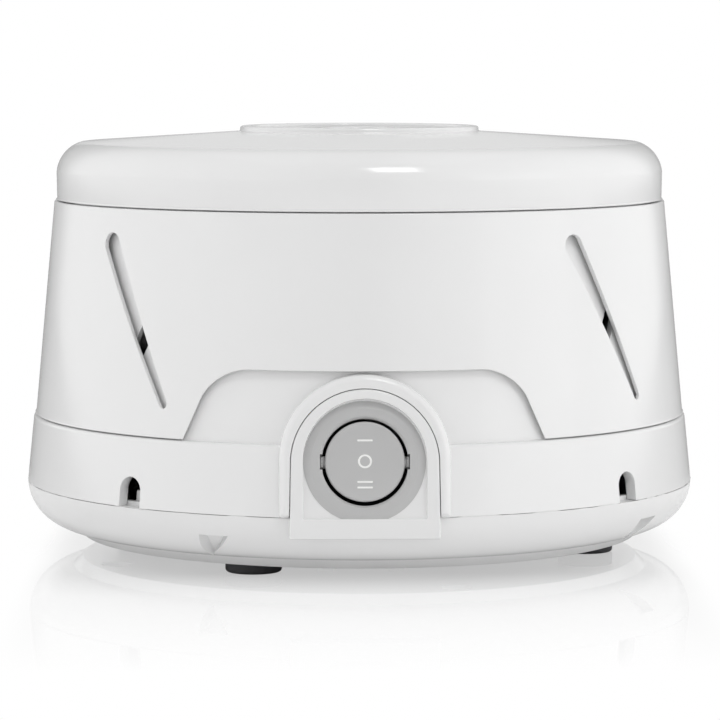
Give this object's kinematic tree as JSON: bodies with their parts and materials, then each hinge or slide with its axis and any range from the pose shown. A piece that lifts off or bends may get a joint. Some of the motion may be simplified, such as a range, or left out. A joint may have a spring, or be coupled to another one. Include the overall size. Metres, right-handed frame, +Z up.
{
  "type": "white noise sound machine",
  "caption": "Round mains-powered fan sound machine: a slotted housing with a turning cap and collar that tune the sound, and a round two-speed rocker in front.",
  "frame": {"origin": "on the floor under the middle of the round base", "axes": "+Z up along the axis that cap, collar and fan share, -Y out through the switch at the front, +X to the right seen from the front"},
  "size_m": [0.146, 0.1477, 0.0915],
  "materials": {
    "white_plastic": "fine satin",
    "grey_plastic": "satin",
    "foot_rubber": "matte",
    "black_nylon": "satin",
    "natural_nylon": "satin",
    "zinc_steel": "zinc plated",
    "lamination_steel": "stamped, oiled",
    "cast_zinc": "as cast",
    "cast_aluminium": "as cast",
    "copper": "bare",
    "enamelled_copper": "enamelled",
    "bronze": "sintered",
    "tin_plated_brass": "stamped",
    "coil_tape": "glossy film",
    "red_lead": "satin",
    "black_lead": "satin",
    "white_lead": "satin"
  },
  "bodies": {
    "base": {"acoustic_housing": "white_plastic", "bottom_pan": "white_plastic", "foot_front_left": "foot_rubber", "foot_front_right": "foot_rubber", "foot_rear_right": "foot_rubber", "foot_rear_left": "foot_rubber", "case_screws": "zinc_steel", "cap_screw": "zinc_steel", "cap_washer": "zinc_steel", "cord_bush": "black_nylon", "switch_bezel": "grey_plastic", "switch_base": "black_nylon", "switch_terminals": "tin_plated_brass", "spade_connectors": "tin_plated_brass", "motor_plate": "zinc_steel", "rubber_mounts": "foot_rubber", "mount_screws": "zinc_steel", "bracket_spacers": "zinc_steel", "lower_bracket": "cast_zinc", "upper_bracket": "cast_zinc", "lower_bush": "bronze", "upper_bush": "bronze", "stator_core": "lamination_steel", "shading_rings": "copper", "coil_bobbin": "natural_nylon", "coil_winding": "enamelled_copper", "coil_tape": "coil_tape", "thermal_fuse": "black_nylon", "through_screws": "zinc_steel", "screw_nuts": "zinc_steel", "low_speed_lead": "red_lead", "high_speed_lead": "black_lead", "line_lead": "black_lead", "neutral_lead": "white_lead", "crimp_caps": "natural_nylon"},
    "cap": {"top_cap": "white_plastic"},
    "collar": {"side_collar": "white_plastic"},
    "rocker": {"rocker": "grey_plastic", "rocker_plunger": "natural_nylon", "rocker_spring": "zinc_steel"},
    "contact": {"contact_bar": "copper"},
    "rotor": {"rotor_core": "lamination_steel", "rotor_end_rings": "cast_aluminium", "motor_shaft": "zinc_steel", "thrust_washers": "natural_nylon", "fan_wheel": "natural_nylon", "fan_clip": "zinc_steel"}
  },
  "joints": [
    {"name": "cap_turn", "type": "hinge", "parent": "base", "child": "cap", "pos_m": [0, 0, 0.085], "axis": [0, 0, 1], "range_deg": [-15, 15]},
    {"name": "collar_turn", "type": "hinge", "parent": "base", "child": "collar", "pos_m": [0, 0, 0.052], "axis": [0, 0, 1], "range_deg": [-16, 16]},
    {"name": "rocker_tilt", "type": "hinge", "parent": "base", "child": "rocker", "pos_m": [0, -0.06856, 0.02534], "axis": [1, 0, 0], "range_deg": [-8, 8]},
    {"name": "contact_rock", "type": "hinge", "parent": "base", "child": "contact", "pos_m": [0, -0.06029, 0.0239], "axis": [1, 0, 0], "range_deg": [-6, 6]},
    {"name": "rotor_spin", "type": "hinge", "parent": "base", "child": "rotor", "pos_m": [0, 0, 0.041], "axis": [0, 0, 1], "continuous": true}
  ],
  "couplings": [
    {"joint": "contact_rock", "follows": "rocker_tilt", "ratio": -0.75}
  ]
}
